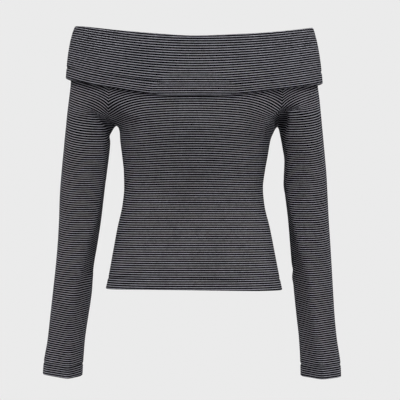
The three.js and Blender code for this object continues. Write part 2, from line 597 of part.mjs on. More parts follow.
// The band is a hook over the neck edge: its outer ply hangs outside, its short leg inside
function makeBand(face) {
  const outer = [];
  const inner = [];
  const addRow = (height, outerOffset, innerOffset, lift = 0) => {
    const row = bandColumns(face, height);
    const sideways = row.map((p) => formNormal(p).setZ(0).normalize());
    const moved = (offset, raise) => row.map((p, j) => {
      const drop = foldTop(p.x, p.y) - p.z;
      const out = sideways[j];
      return p.clone().addScaledVector(out, offset(p, drop)).add(new THREE.Vector3(0, 0, raise));
    });
    outer.push(moved(outerOffset, lift));
    inner.push(moved(innerOffset, lift * (PLY / 2 + BAND_CLEARANCE) / FOLD_HALF));
  };
  const standOff = (p, drop) => {
    const sideShare = Math.min(Math.abs(p.x) / BAND_SIDE_REACH, 1) ** 3;
    const [middle, side] = ['middle', 'side'].map((column) => along(BAND_STANDS_OFF, column, drop, 'drop'));
    return mix(middle, side, sideShare);
  };
  const thinned = (thickness) => (p, drop) => standOff(p, drop) - thickness;
  const between = (share) => (x, y) => mix(bandBottom(x, y), neckEdge(x, y), share);
  const hemTop = HEM_DEPTH / (FOLD_TOP_AT_SIDES.left - BAND_BOTTOM_AT_SIDES.left);
  const stepTop = hemTop + HEM_STEP / HEM_DEPTH * hemTop;
  addRow(between(0), standOff, thinned(DOUBLE_PLY));
  addRow(between(hemTop), standOff, thinned(DOUBLE_PLY));
  for (let i = 0; i <= BAND_ROWS; i += 1) {
    addRow(between(mix(stepTop, 1, i / BAND_ROWS)), standOff, thinned(PLY));
  }
  const clothMiddle = -PLY / 2;
  const outerRadius = BAND_STANDS_OFF[0].middle - clothMiddle;
  const innerRadius = outerRadius - PLY;
  for (let i = 1; i < FOLD_STEPS; i += 1) {
    const angle = (Math.PI * i) / FOLD_STEPS;
    const reach = (radius) => () => clothMiddle + radius * Math.cos(angle);
    addRow(neckEdge, reach(outerRadius), reach(innerRadius), FOLD_HALF * Math.sin(angle));
  }
  const leg = (x, y) => neckEdge(x, y) - BAND_LEG;
  for (const height of [neckEdge, leg]) {
    addRow(height, () => clothMiddle - outerRadius, () => clothMiddle - innerRadius);
  }
  const facing = face === 'front' ? -1 : 1;
  for (const row of [...outer, ...inner]) {
    row[0].y += (facing * SEAM_GAP) / 2;
    row[row.length - 1].y += (facing * SEAM_GAP) / 2;
  }
  return closeWall({ outer, inner });
}

function piece(name, geometry) {
  const knit = new THREE.MeshStandardMaterial({ color: KNIT_COLOUR, roughness: 0.9, metalness: 0 });
  const mesh = new THREE.Mesh(geometry, knit);
  mesh.name = name;
  return mesh;
}

const top = new THREE.Group();
top.name = 'off_the_shoulder_top';
top.add(piece('front_panel', makePanel('front')));
top.add(piece('back_panel', makePanel('back')));
top.add(piece('sleeve_left', makeSleeve('left')));
top.add(piece('sleeve_right', makeSleeve('right')));
top.add(piece('band_front', makeBand('front')));
top.add(piece('band_back', makeBand('back')));

export default top;
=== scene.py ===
# Off-the-shoulder long-sleeved top in finely striped jersey, filled out as worn: cloth shells on the form of
# the solids, with creases, seams, turned hems, stitching and the knit's finish. Tables and lengths are in
# millimetres, and the studio is in metres.
import math

import bpy
import numpy as np
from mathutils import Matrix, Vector


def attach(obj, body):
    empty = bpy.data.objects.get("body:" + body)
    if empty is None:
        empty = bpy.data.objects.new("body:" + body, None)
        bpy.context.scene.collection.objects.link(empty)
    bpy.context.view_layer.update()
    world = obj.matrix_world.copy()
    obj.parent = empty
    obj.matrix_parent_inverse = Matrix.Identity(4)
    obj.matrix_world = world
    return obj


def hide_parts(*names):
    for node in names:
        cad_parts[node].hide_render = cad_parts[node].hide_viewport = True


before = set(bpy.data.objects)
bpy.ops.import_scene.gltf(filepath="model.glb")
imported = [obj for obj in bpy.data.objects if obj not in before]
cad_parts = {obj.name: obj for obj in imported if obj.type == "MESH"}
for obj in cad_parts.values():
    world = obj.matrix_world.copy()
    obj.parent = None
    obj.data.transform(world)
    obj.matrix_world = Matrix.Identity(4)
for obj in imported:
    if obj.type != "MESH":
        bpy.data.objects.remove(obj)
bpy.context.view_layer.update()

MM = 0.001
SIGN = {"left": -1, "right": 1}
FACING = {"front": -1, "back": 1}

# Cloth and sewing
PLY = 1.2                # one layer of jersey
HEM_PLY = 2.4            # a turned and stitched hem
HEM_DEPTH = 18           # body and band hems
CUFF_DEPTH = 20
SEAM_GAP = 0.08          # between two sewn pieces
SEAM_DIP = 0.9           # how far the cloth sinks into a seam
SEAM_SPREAD = 2.4
STITCH_DIP = {"body": 0.9, "cuff": 1.5, "band": 1.3}    # how far a row of stitches pulls the cloth in
STITCH_SPREAD = 1.7
HEM_ENDS = (1, 3)        # above the stitches, where two layers become one

# Overall heights, as in the solids
BODY_HEM = {"left": -417.2, "right": -419.6, "front_lift": 3}
CUFFS = {
    "left": {"height": -563.9, "inward": -0.064, "back": 0.11},
    "right": {"height": -566.5, "inward": 0, "back": 0.068},
}
FOLD_TOP = {"left": 13.7, "right": 11.6}
FOLD_DIP = {"front": 20.7, "back": 14.6}
FOLD_SAG = {"depth": 1.4, "half_width": 40}
FOLD_DIP_POWER = {"left": 2, "right": 1.6}
NECK_HALF_DEPTH = 88


class Table:
    """Rows of named columns, each read as a smooth curve that never overshoots its rows."""

    def __init__(self, names, rows):
        columns = np.array(rows, float).T
        columns = columns[:, np.argsort(columns[0])]
        self.at = columns[0]
        self.columns = {}
        for name, values in zip(names.split()[1:], columns[1:]):
            slopes = np.diff(values) / np.diff(self.at)
            rising = slopes[:-1] * slopes[1:]
            total = np.where(rising > 0, slopes[:-1] + slopes[1:], 1)
            between = np.where(rising > 0, 2 * rising / total, 0)
            self.columns[name] = values, np.concatenate([slopes[:1], between, slopes[-1:]])

    def __call__(self, name, place):
        values, tangents = self.columns[name]
        place = np.clip(place, self.at[0], self.at[-1])
        i = np.clip(np.searchsorted(self.at, place, side="right") - 1, 0, len(self.at) - 2)
        span = self.at[i + 1] - self.at[i]
        t = (place - self.at[i]) / span
        a, b = values[i], values[i + 1]
        level = a * (1 + 2 * t) * (1 - t) ** 2 + b * t * t * (3 - 2 * t)
        return level + span * (tangents[i] * t * (1 - t) ** 2 - tangents[i + 1] * t * t * (1 - t))


# Torso: distances of the left, right, front and back of the section from the middle
TORSO_POWER = 2.25
TORSO = Table("z left right front back", [
    (16, 150, 152, 85, 85),
    (-60, 158, 161, 98, 92),
    (-110, 148, 155, 107, 91),
    (-135, 133, 145, 111, 89.5),
    (-150, 123.2, 137.4, 112, 88),
    (-160, 121.6, 132.3, 111.5, 87.5),
    (-173, 120.8, 127, 109.5, 86.5),
    (-199, 117.6, 122.4, 103, 83.5),
    (-226, 114.8, 117.5, 96, 81),
    (-252, 114.3, 114.4, 90, 80),
    (-279, 116.9, 116.7, 87.5, 82),
    (-318, 125.4, 125.9, 88.5, 88),
    (-358, 132.8, 133.8, 92.5, 97),
    (-397, 140, 141.4, 96.5, 105),
    (-418, 144.8, 146, 98.5, 109),
])

# Sleeves: outer and inner edge from the middle of the body, the arm's middle behind the body's middle, its
# half depth, the place of the forearm's front ridge and how full the face outside it is
SLEEVE_POWER = 2.1
NO_RIDGE = 1
ROUND_FROM = 0.995
SLEEVES = {
    "left": Table("z outer inner middle depth ridge flat", [
        (16, 193.2, 100, 0, 58, NO_RIDGE, 40),
        (0, 197.6, 100, 0, 58, NO_RIDGE, 40),
        (-40, 200.4, 103, 0, 58, NO_RIDGE, 40),
        (-81, 202.5, 110, 0, 57, NO_RIDGE, 40),
        (-107, 205.4, 118, 0, 55, NO_RIDGE, 40),
        (-134, 208.6, 127, 0, 51.5, NO_RIDGE, 40),
        (-150, 210.1, 131.2, 0, 49.5, NO_RIDGE, 40),
        (-160, 211.2, 135.4, 0.4, 48.4, NO_RIDGE, 40),
        (-167, 212, 138.6, 1, 47.8, NO_RIDGE, 40),
        (-176, 213, 137.5, 1.9, 47, NO_RIDGE, 40),
        (-186, 214, 138.2, 3, 46.2, NO_RIDGE, 40),
        (-226, 218.2, 143.2, 6.6, 44.4, NO_RIDGE, 40),
        (-265, 221.4, 148.1, 10, 43, 0.97, 40),
        (-305, 223, 153.2, 13.6, 42, 0.86, 34),
        (-345, 225.6, 159.6, 17, 40.5, 0.64, 21),
        (-385, 229.5, 166.4, 20.6, 38.5, 0.38, 10.5),
        (-425, 234.2, 169.4, 24, 36.5, 0.18, 6),
        (-465, 239, 175.4, 27.6, 34.5, 0.17, 3.5),
        (-505, 243.8, 181.4, 31, 33, 0.3, 3),
        (-546, 251, 184.8, 34.7, 32.5, 0.37, 3),
        (-568, 252.6, 186.2, 36.5, 32.5, 0.37, 3),
    ]),
    "right": Table("z outer inner middle depth ridge flat", [
        (16, 194.2, 100, 0, 58, NO_RIDGE, 40),
        (0, 198.2, 101, 0, 58, NO_RIDGE, 40),
        (-40, 201.4, 105, 0, 58, NO_RIDGE, 40),
        (-81, 204.6, 114, 0, 57, NO_RIDGE, 40),
        (-107, 207.8, 122, 0, 55, NO_RIDGE, 40),
        (-134, 210.4, 133, 0, 51.5, NO_RIDGE, 40),
        (-150, 211.9, 139.6, 0, 49.5, NO_RIDGE, 40),
        (-160, 212.9, 141.9, 0.4, 48.4, NO_RIDGE, 40),
        (-186, 215.6, 147, 3, 46.2, NO_RIDGE, 40),
        (-208, 217.8, 150.2, 5, 45.2, NO_RIDGE, 40),
        (-226, 219.5, 149.6, 6.6, 44.4, NO_RIDGE, 40),
        (-245, 220.8, 148.6, 8.3, 43.7, 0.985, 40),
        (-265, 221.9, 151.4, 10, 43, 0.96, 40),
        (-305, 224.2, 156.6, 13.6, 42, 0.82, 32),
        (-345, 227.1, 160.2, 17, 40.5, 0.58, 19),
        (-385, 229.8, 163.6, 20.6, 38.5, 0.37, 10.5),
        (-425, 232.4, 167.2, 24, 36.5, 0.22, 6),
        (-465, 235.2, 171.5, 27.6, 34.5, 0.2, 3.5),
        (-505, 239.4, 176, 31, 33, 0.17, 3),
        (-546, 245.8, 178.4, 34.7, 32.5, 0.06, 3),
        (-568, 247, 179, 36.5, 32.5, 0.03, 3),
    ]),
}
FACE_EASE = 1.8
FACE_ROUNDING = 5
OUTER_CHORD = {"across": 0.96, "forward": 0.28}

# How sleeve and body run together: the share of a taut oval round both, and the widths over which they blend
OVAL_POWER = 2
JOIN = Table("z taut left right", [
    (16, 1, 46, 44),
    (-60, 1, 46, 44),
    (-85, 0.82, 42, 38),
    (-105, 0.5, 36, 30),
    (-120, 0.24, 29, 22),
    (-134, 0.08, 23, 15),
    (-146, 0, 17, 9),
    (-160, 0, 16, 8),
])

# Armhole seams: distance from the middle near the armpit and towards the neck
ARMHOLES = {"left": {"low": 141.2, "high": 131}, "right": {"low": 140.8, "high": 145}}
ARMHOLE_TURN = 7
ARMHOLE_LEAN = 60
ARMPIT_SEARCH = {"inside": 110, "outside": 160, "steps": 251, "high": -110, "low": -190, "halvings": 30}

# Fold-over band: its lower edge, its short inner leg, and how far its outer face stands off the form at each
# drop below the fold
BAND_BOTTOM_AT_SIDES = {"left": -72, "right": -80.5}
BAND_BOTTOM = {"front": -106.5, "back": -95}
BAND_BOTTOM_POWER = 1.75
BAND_HALF_DEPTH = {"front": 104, "back": 94}
BAND_CLEARANCE = 0.6
BAND_LEG = 16
BAND_STANDS_OFF = Table("drop middle side", [
    (0, 1.8, 1.8),
    (12, 2.4, 2.8),
    (25, 3.6, 4.8),
    (50, 5.2, 7.4),
    (72, 5.8, 8.4),
    (84, 5.3, 8.7),
    (97, 3.6, 8.4),
])
BAND_SIDE_REACH = 200
BAND_SIDE_POWER = 3
FOLD_HALF = PLY + BAND_CLEARANCE + PLY / 2

# How finely the cloth is made
ROW_HEIGHT = 2.6
PANEL_HALF_COLUMNS = 64
SLEEVE_HALF_COLUMNS = 52
SEAM_COLUMNS = (0.93, 0.957, 0.975, 0.987, 0.995)
FOLD_TURNS = 10
LEG_ROWS = 5
TRACE_STEP = 2.5
TRACE_LIMIT = 400
SETTLE_TURNS = 2
NORMAL_STEP = 0.2
SLOPE_STEP = 0.05
ARMPIT_INSET = 0.02


def mix(a, b, share):
    return a + (b - a) * share


def smoothstep(x, low, high):
    t = np.clip((x - low) / (high - low), 0, 1)
    return t * t * (3 - 2 * t)


def soft_min(a, b, width):
    share = np.maximum(width - np.abs(a - b), 0) / width
    return np.minimum(a, b) - share * share * width / 4


def soft_max(a, b, width):
    return -soft_min(-a, -b, width)


def by_side(x, value):
    """The left or the right of a function of the side, by which side of the body a point is on."""
    return np.where(x < 0, value("left"), value("right"))


def by_face(y, value):
    return np.where(y < 0, value("front"), value("back"))


def oval_field(x, y, half_x, half_y, power):
    """Distance outside an oval along the ray from its middle, negative inside."""
    reach = np.hypot(x, y) + 1e-9
    share = (np.abs(x / half_x) ** power + np.abs(y / half_y) ** power) ** (1 / power) + 1e-12
    return reach - reach / share


def torso_field(x, y, z):
    half_x = by_side(x, lambda side: TORSO(side, z))
    half_y = by_face(y, lambda face: TORSO(face, z))
    return oval_field(x, y, half_x, half_y, TORSO_POWER)


def face_field(x, y, ridge, other, ease):
    """A straight face from the ridge to another point of the section, positive on its outer side."""
    dx, dy = ridge[0] - other[0], ridge[1] - other[1]
    outward = np.where(dx > 0, 1, -1)
    return outward * (dy * (x - ridge[0]) - dx * (y - ridge[1])) / np.hypot(dx, dy) - ease


def arm_field(x, y, z, side):
    arm = SLEEVES[side]
    outer, inner, depth = arm("outer", z), arm("inner", z), arm("depth", z)
    half = (outer - inner) / 2
    inward = (outer + inner) / 2 - SIGN[side] * x
    back = y - arm("middle", z)
    round_field = oval_field(inward, back, half, depth, SLEEVE_POWER)
    ridge_share = arm("ridge", z)
    share = np.minimum(ridge_share, ROUND_FROM)
    ridge = share * half, -depth * np.sqrt(1 - share ** 2)
    inner_face = face_field(inward, back, ridge, (half, 0), FACE_EASE)
    outer_end = -OUTER_CHORD["across"] * half, -OUTER_CHORD["forward"] * depth
    outer_face = face_field(inward, back, ridge, outer_end, arm("flat", z))
    cut = soft_max(soft_max(round_field, inner_face, FACE_ROUNDING), outer_face, FACE_ROUNDING)
    return np.where(ridge_share > ROUND_FROM, round_field, cut)


def form_field(x, y, z):
    """The whole filled-out form: negative inside, zero on the cloth's outer face."""
    arm = by_side(x, lambda side: arm_field(x, y, z, side))
    union = soft_min(torso_field(x, y, z), arm, by_side(x, lambda side: JOIN(side, z)))
    half_x = by_side(x, lambda side: SLEEVES[side]("outer", z))
    half_y = by_face(y, lambda face: TORSO(face, z))
    return mix(union, oval_field(x, y, half_x, half_y, OVAL_POWER), JOIN("taut", z))


def form_normal(points):
    x, y, z = points[..., 0], points[..., 1], points[..., 2]
    h = NORMAL_STEP
    normal = np.stack([
        form_field(x + h, y, z) - form_field(x - h, y, z),
        form_field(x, y + h, z) - form_field(x, y - h, z),
        form_field(x, y, z + h) - form_field(x, y, z - h),
    ], axis=-1)
    return unit(normal)


def unit(vectors):
    return vectors / np.linalg.norm(vectors, axis=-1, keepdims=True)


def find_armpit(side):
    """The highest point of the open gap between arm and torso."""
    xs = SIGN[side] * np.linspace(ARMPIT_SEARCH["inside"], ARMPIT_SEARCH["outside"], ARMPIT_SEARCH["steps"])
    high, low = ARMPIT_SEARCH["high"], ARMPIT_SEARCH["low"]
    for _ in range(ARMPIT_SEARCH["halvings"]):
        z = (high + low) / 2
        if form_field(xs, 0 * xs, z + 0 * xs).max() > 0:
            low = z
        else:
            high = z
    return np.array([xs[form_field(xs, 0 * xs, low + 0 * xs).argmax()], 0, low])


ARMPITS = {side: find_armpit(side) for side in SIGN}


# Heights that the rows of all pieces share
def across_body(x):
    return smoothstep(x, ARMPITS["left"][0], ARMPITS["right"][0])


def armpit_height(x):
    return mix(ARMPITS["left"][2], ARMPITS["right"][2], across_body(x))


def fold_top(x, y):
    share = across_body(x)
    dip = by_face(y, FOLD_DIP.get)
    power = mix(FOLD_DIP_POWER["left"], FOLD_DIP_POWER["right"], share)
    sag = np.where(y < 0, FOLD_SAG["depth"] * np.exp(-(x / FOLD_SAG["half_width"]) ** 2), 0)
    return mix(FOLD_TOP["left"], FOLD_TOP["right"], share) - dip * np.abs(y / NECK_HALF_DEPTH) ** power - sag


def neck_edge(x, y):
    return fold_top(x, y) - FOLD_HALF


def body_hem(x, y):
    level = mix(BODY_HEM["left"], BODY_HEM["right"], across_body(x))
    return level + np.where(y < 0, BODY_HEM["front_lift"] * (y / TORSO("front", level)) ** 2, 0)


def sleeve_middle(side, z):
    return (SLEEVES[side]("outer", z) + SLEEVES[side]("inner", z)) / 2


def cuff_edge(side):
    cuff = CUFFS[side]
    middle_x = sleeve_middle(side, cuff["height"])
    middle_y = SLEEVES[side]("middle", cuff["height"])
    return lambda x, y: (cuff["height"] + cuff["inward"] * (middle_x - SIGN[side] * x)
                         + cuff["back"] * (y - middle_y))


def above(shares):
    return lambda x, y: mix(armpit_height(x), neck_edge(x, y), shares)


def below(shares, floor):
    return lambda x, y: mix(armpit_height(x), floor(x, y), shares)


def armhole_x(side, z):
    armpit, hole = ARMPITS[side], ARMHOLES[side]
    rise = np.maximum(z - armpit[2], 0)
    line = mix(hole["high"], hole["low"], np.exp(-rise / ARMHOLE_LEAN))
    return SIGN[side] * (line + (abs(armpit[0]) - line) * np.exp(-rise / ARMHOLE_TURN))


def trace(height, start, turn, stop, inset):
    """Walks round the form at each row's height until its stop value falls to zero. A row that has stopped
    stays where it is."""
    h = SLOPE_STEP

    def slope(x, y):
        xs, ys = np.stack([x + h, x - h, x, x, x]), np.stack([y, y, y + h, y - h, y])
        field = form_field(xs, ys, height(xs, ys)) + inset
        return (field[0] - field[1]) / (2 * h), (field[2] - field[3]) / (2 * h), field[4]

    def settle(x, y):
        for _ in range(SETTLE_TURNS):
            gx, gy, value = slope(x, y)
            move = value / (gx ** 2 + gy ** 2)
            x, y = x - gx * move, y - gy * move
        return x, y

    x, y = settle(*start)
    xs, ys = [x], [y]
    going = np.ones(len(x), bool)
    for _ in range(TRACE_LIMIT):
        gx, gy, _ = slope(x, y)
        stride = turn * TRACE_STEP / np.hypot(gx, gy)
        next_x, next_y = settle(x - stride * gy, y + stride * gx)
        before, after = stop(x, y), stop(next_x, next_y)
        ending = going & (after <= 0)
        share = np.where(ending, before / np.where(ending, before - after, 1), 1)
        end_x, end_y = settle(mix(x, next_x, share), mix(y, next_y, share))
        x = np.where(ending, end_x, np.where(going, next_x, x))
        y = np.where(ending, end_y, np.where(going, next_y, y))
        going &= ~ending
        xs.append(x)
        ys.append(y)
        if not going.any():
            return np.array(xs), np.array(ys)
    raise RuntimeError("a row did not close")


def spread(xs, ys, shares):
    """Points at given shares of each traced row's length."""
    steps = np.hypot(np.diff(xs, axis=0), np.diff(ys, axis=0))
    lengths = np.vstack([np.zeros(xs.shape[1]), np.cumsum(steps, axis=0)])
    rows = range(xs.shape[1])
    pick = [np.stack([np.interp(shares * lengths[-1, r], lengths[:, r], line[:, r]) for r in rows])
            for line in (xs, ys)]
    return np.stack(pick, axis=-1)


def two_ways(height, start, stops, shares, inset):
    """Rows that are walked both ways from their start points and joined."""
    backwards = spread(*trace(height, start, -1, stops[0], inset), shares)[:, ::-1]
    forwards = spread(*trace(height, start, 1, stops[1], inset), shares)
    flat = np.concatenate([backwards, forwards[:, 1:]], axis=1)
    x, y = flat[..., 0], flat[..., 1]
    return np.stack([x, y, height(x.T, y.T).T], axis=-1)


def half_shares(count):
    """Column places from the middle of a row to its seam, closer together at the seam."""
    return np.concatenate([np.linspace(0, SEAM_COLUMNS[0], count)[:-1], SEAM_COLUMNS, [1]])


def panel_rows(face, kind, height, count):
    facing = FACING[face]

    def stop(side):
        if kind == "above":
            return lambda x, y: SIGN[side] * (armhole_x(side, height(x, y)) - x)
        return lambda x, y: facing * y

    order = ("left", "right") if face == "front" else ("right", "left")
    at = np.zeros(count)
    start = at, facing * TORSO(face, height(at, at + facing * NECK_HALF_DEPTH))
    shares = half_shares(PANEL_HALF_COLUMNS)
    inset = ARMPIT_INSET if kind == "armpit" else 0
    return two_ways(height, start, [stop(side) for side in order], shares, inset)


def sleeve_rows(side, kind, height, count):
    sign, arm = SIGN[side], SLEEVES[side]
    at = np.zeros(count)
    roughly = height(at + sign * arm("outer", ARMPITS[side][2]), at)
    z = height(sign * arm("outer", roughly), at)
    middle, middle_x = arm("middle", z), sleeve_middle(side, z)

    def stop(facing):
        if kind == "above":
            return lambda x, y: sign * (x - armhole_x(side, height(x, y)))
        return lambda x, y: np.where(sign * x > middle_x, 1, facing * (y - middle))

    stops = [stop(-1), stop(1)] if side == "right" else [stop(1), stop(-1)]
    shares = half_shares(SLEEVE_HALF_COLUMNS)
    inset = ARMPIT_INSET if kind == "armpit" else 0
    rows = two_ways(height, (sign * arm("outer", z), middle), stops, shares, inset)
    return rows[:, ::-1] if side == "left" else rows


# Soft creases: piece group, the way its cloth faces there, the two ends (across and height), half width and
# depth. Across is x on the front and back and y on the sides. A negative depth is a ridge. A crease of the
# group "seam" runs on from one piece to the next.
CREASES = [
    ("body", "front", -94, -140, -106, -190, 9, 3.6),
    ("body", "front", -68, -166, -90, -236, 9, 3),
    ("body", "front", 106, -140, 106, -210, 9, 2.2),
    ("body", "front", 84, -150, 93, -212, 8, 1.4),
    ("body", "front", -116, -133, -60, -150, 7, -1.1),
    ("seam", "front", -166, -126, -122, -166, 4.5, 9),
    ("seam", "front", -121, -133, -113, -160, 5, 3),
    ("seam", "front", 139, -131, 123, -180, 7.5, 20),
    ("body", "front", 141, -116, 113, -159, 4.5, -4.5),
    ("seam", "front", 147, -124, 143, -172, 5, 10),
    ("seam", "front", 138, -130, 172, -124, 4, 7),
    ("body", "front", -112, -196, -84, -246, 8, -0.7),
    ("body", "front", 112, -236, 84, -262, 9, 0.8),
    ("body", "back", -98, -150, -66, -214, 10, 2.6),
    ("body", "back", 104, -146, 70, -206, 10, 2.6),
    ("body", "back", -74, -262, 40, -278, 12, 3),
    ("body", "back", -36, -306, 78, -292, 12, 2.6),
    ("body", "back", -84, -226, -20, -238, 9, 1.5),
    ("body", "back", 20, -222, 88, -240, 9, 1.4),
    ("left", "front", -144, -146, -153, -290, 9, -4.5),
    ("left", "front", -153, -262, -190, -396, 9, -6),
    ("left", "front", -186, -376, -200, -480, 8, -3),
    ("left", "front", -160, -378, -197, -420, 5, 3.6),
    ("left", "front", -164, -400, -190, -440, 7, -2.6),
    ("left", "right", -22, -372, 40, -396, 6, 1.6),
    ("left", "right", -10, -400, 44, -388, 7, -1.2),
    ("left", "back", -206, -352, -166, -372, 7, 2),
    ("left", "back", -212, -384, -172, -392, 7, 2.2),
    ("left", "back", -208, -418, -176, -410, 7, 1.5),
    ("left", "back", -196, -150, -150, -176, 9, 2.2),
    ("left", "front", -236, -528, -196, -520, 6, 0.7),
    ("right", "front", 153, -146, 157, -290, 9, -4.5),
    ("right", "front", 158, -262, 189, -398, 9, -6),
    ("right", "front", 185, -380, 203, -510, 8, -3.2),
    ("right", "front", 167, -376, 190, -412, 6, 1.2),
    ("right", "front", 168, -392, 188, -434, 7, -1.3),
    ("right", "left", -22, -370, 38, -392, 6, 1.5),
    ("right", "left", -8, -398, 42, -404, 7, -1.1),
    ("right", "back", 208, -350, 168, -368, 7, 2),
    ("right", "back", 212, -384, 174, -390, 7, 2.1),
    ("right", "back", 206, -420, 178, -412, 7, 1.5),
    ("right", "back", 196, -152, 152, -178, 9, 2.2),
    ("right", "front", 232, -526, 194, -518, 6, 0.7),
]
AXES = {"front": (0, -1), "back": (0, 1), "left": (-1, 0), "right": (1, 0)}
CREASE_FADE = (0.05, 0.6)
CREASE_END_POWER = 3


def crease_depth(points, normals, group):
    depth = np.zeros(points.shape[:-1])
    for piece, facing, a0, z0, a1, z1, width, deep in CREASES:
        if piece not in (group, "seam"):
            continue
        axis = AXES[facing]
        turned = normals[..., 0] * axis[0] + normals[..., 1] * axis[1]
        across = points[..., 0] if facing in FACING else points[..., 1]
        run_a, run_z = a1 - a0, z1 - z0
        share = ((across - a0) * run_a + (points[..., 2] - z0) * run_z) / (run_a ** 2 + run_z ** 2)
        near = np.clip(share, 0, 1)
        away = np.hypot(across - a0 - near * run_a, points[..., 2] - z0 - near * run_z)
        ends = 1 - np.abs(2 * near - 1) ** CREASE_END_POWER
        depth += deep * np.exp(-(away / width) ** 2) * ends * smoothstep(turned, *CREASE_FADE)
    return depth


# The stripes' course through the cloth: every function below gives a length in millimetres that grows by one
# pitch from a stripe to the next
PITCH = 3.7
BODY_STRETCH = {"upper": 3.73, "lower": 3.6, "waist": -265}
BAND_PITCH = 3.57
SLEEVE_PITCH = 3.68

# How the body's stripes sink from the middle towards the armholes: their slope 60 mm and 125 mm out, and how
# far they rise again at the side seams
BODY_GRAIN = Table("z frown flare lift", [
    (16, 0.02, 0.25, 0),
    (-84, 0.03, 0.26, 0),
    (-107, 0.038, 0.28, 0),
    (-132, 0.05, 0.38, 0),
    (-150, 0.055, 0.2, 0.6),
    (-172, 0.05, 0.02, 2.2),
    (-190, 0.045, 0, 3.2),
    (-234, 0.03, 0, 3.4),
    (-285, 0.012, 0, 1.8),
    (-340, 0.006, 0, 0),
    (-418, 0.006, 0, -0.5),
])
FROWN_REACH = 60
FLARE_FROM, FLARE_TO = 70, 125
LIFT_SPREAD = 12
LIFT_SHARE = {"left": 1.5, "right": 0.9}

# How the sleeves' stripes tilt: towards the body and towards the back
SLEEVE_GRAIN = {
    "left": Table("z inward back", [
        (16, 0.12, 0.14),
        (-84, 0.155, 0.14),
        (-120, 0.155, 0.15),
        (-150, 0.1, 0.18),
        (-180, 0.085, 0.24),
        (-200, 0.075, 0.25),
        (-265, 0.02, 0.2),
        (-330, 0.01, 0.16),
        (-400, 0, 0.13),
        (-460, 0.03, 0.17),
        (-530, 0.035, 0.17),
        (-568, 0.035, 0.13),
    ]),
    "right": Table("z inward back", [
        (16, 0.12, 0.14),
        (-84, 0.14, 0.14),
        (-118, 0.14, 0.14),
        (-140, 0.075, 0.18),
        (-200, 0.05, 0.24),
        (-265, 0.03, 0.18),
        (-330, 0.01, 0.17),
        (-400, 0, 0.15),
        (-460, 0, 0.14),
        (-530, 0, 0.12),
        (-568, 0, 0.09),
    ]),
}
CHEVRON_PITCHES = 3
CHEVRON_SPREAD = 24
# The fold in front of the armpit, where the stripes break off: its height at two distances from the middle
ARMPIT_FOLD = {"left": ((129.4, -149.6), (161.6, -128.7)), "right": ((141, -127.5), (166, -123.5))}
FOLD_BREAK = (1.2, 9)       # half the height of the change, at the armhole and beyond the fold
FOLD_REACH = (20, 40)       # where it grows from the one to the other, from the armhole outwards


def body_grain(points):
    x, z = points[..., 0], points[..., 2]
    out = np.abs(x)
    frown = np.where(out < FROWN_REACH, out ** 2 / (2 * FROWN_REACH), out - FROWN_REACH / 2)
    flare = np.maximum(out - FLARE_FROM, 0) ** 2 / (2 * (FLARE_TO - FLARE_FROM))
    from_side = np.maximum(by_side(x, lambda side: TORSO(side, z)) - out, 0)
    lift = by_side(x, LIFT_SHARE.get) * np.exp(-from_side / LIFT_SPREAD)
    sunk = BODY_GRAIN("frown", z) * frown + BODY_GRAIN("flare", z) * flare - BODY_GRAIN("lift", z) * lift
    level = z - BODY_STRETCH["waist"]
    return PITCH / np.where(level > 0, BODY_STRETCH["upper"], BODY_STRETCH["lower"]) * level + sunk


def tilted_grain(side, x, y, z):
    tilt = SLEEVE_GRAIN[side]
    inward = sleeve_middle(side, z) - SIGN[side] * x
    back = y - SLEEVES[side]("middle", z)
    level = PITCH / SLEEVE_PITCH * (z - BODY_STRETCH["waist"])
    return level + tilt("inward", z) * inward - tilt("back", z) * back


def sleeve_grain(side, points):
    """The sleeve's own tilt, and above the fold at the armpit a bend that meets the body's stripes."""
    x, y, z = points[..., 0], points[..., 1], points[..., 2]
    seam_x = armhole_x(side, z)
    away = np.maximum(SIGN[side] * (x - seam_x), 0)
    (near_x, near_z), (far_x, far_z) = ARMPIT_FOLD[side]
    fold_z = np.interp(SIGN[side] * x, (near_x, far_x), (near_z, far_z))
    half_break = mix(*FOLD_BREAK, smoothstep(away, *FOLD_REACH))
    body_stripes = body_grain(np.stack([seam_x, y, z], axis=-1)) + CHEVRON_PITCHES * PITCH
    bend = body_stripes - tilted_grain(side, seam_x, y, z)
    share = smoothstep(z - fold_z, -half_break, half_break) * np.exp(-away / CHEVRON_SPREAD)
    return tilted_grain(side, x, y, z) + bend * share


def places(length, fixed):
    """Row places along a length: evenly spaced, but for the fixed ones."""
    even = np.linspace(0, length, round(length / ROW_HEIGHT) + 1)
    free = [p for p in even if min(abs(p - f) for f in fixed) > ROW_HEIGHT / 2]
    return np.array(sorted(free + list(fixed)))


NEAR_ARMPIT = (0.8, 2, 4.2)
BY_STITCHES = (-4.4, -3, -1.5, 0, 1.5, 3, 4.4)
FIRST_ROW = 1.6           # above the hem's fold
NECK_RISE = 163           # from the armpits to the neck edge, which sets the number of rows


def garment_rows(rows_of, floor, floor_drop, hem_depth, ends):
    """All rows of a panel or sleeve, hem first, with each row's height over the hem."""
    by_hem = [floor_drop - hem_depth + step for step in BY_STITCHES]
    drops = places(floor_drop, (0, *NEAR_ARMPIT, *by_hem, floor_drop - FIRST_ROW, floor_drop))[1:]
    rises = places(NECK_RISE, (0, *NEAR_ARMPIT, NECK_RISE))[1:]
    lower = rows_of("below", below(drops / floor_drop, floor), len(drops))[::-1]
    armpit = rows_of("armpit", above(np.zeros(1)), 1)
    armpit[0, 0], armpit[0, -1] = ends
    upper = rows_of("above", above(rises / NECK_RISE), len(rises))
    over_hem = np.concatenate([floor_drop - drops[::-1], [floor_drop], floor_drop + rises])
    return np.concatenate([lower, armpit, upper]), over_hem, len(drops)


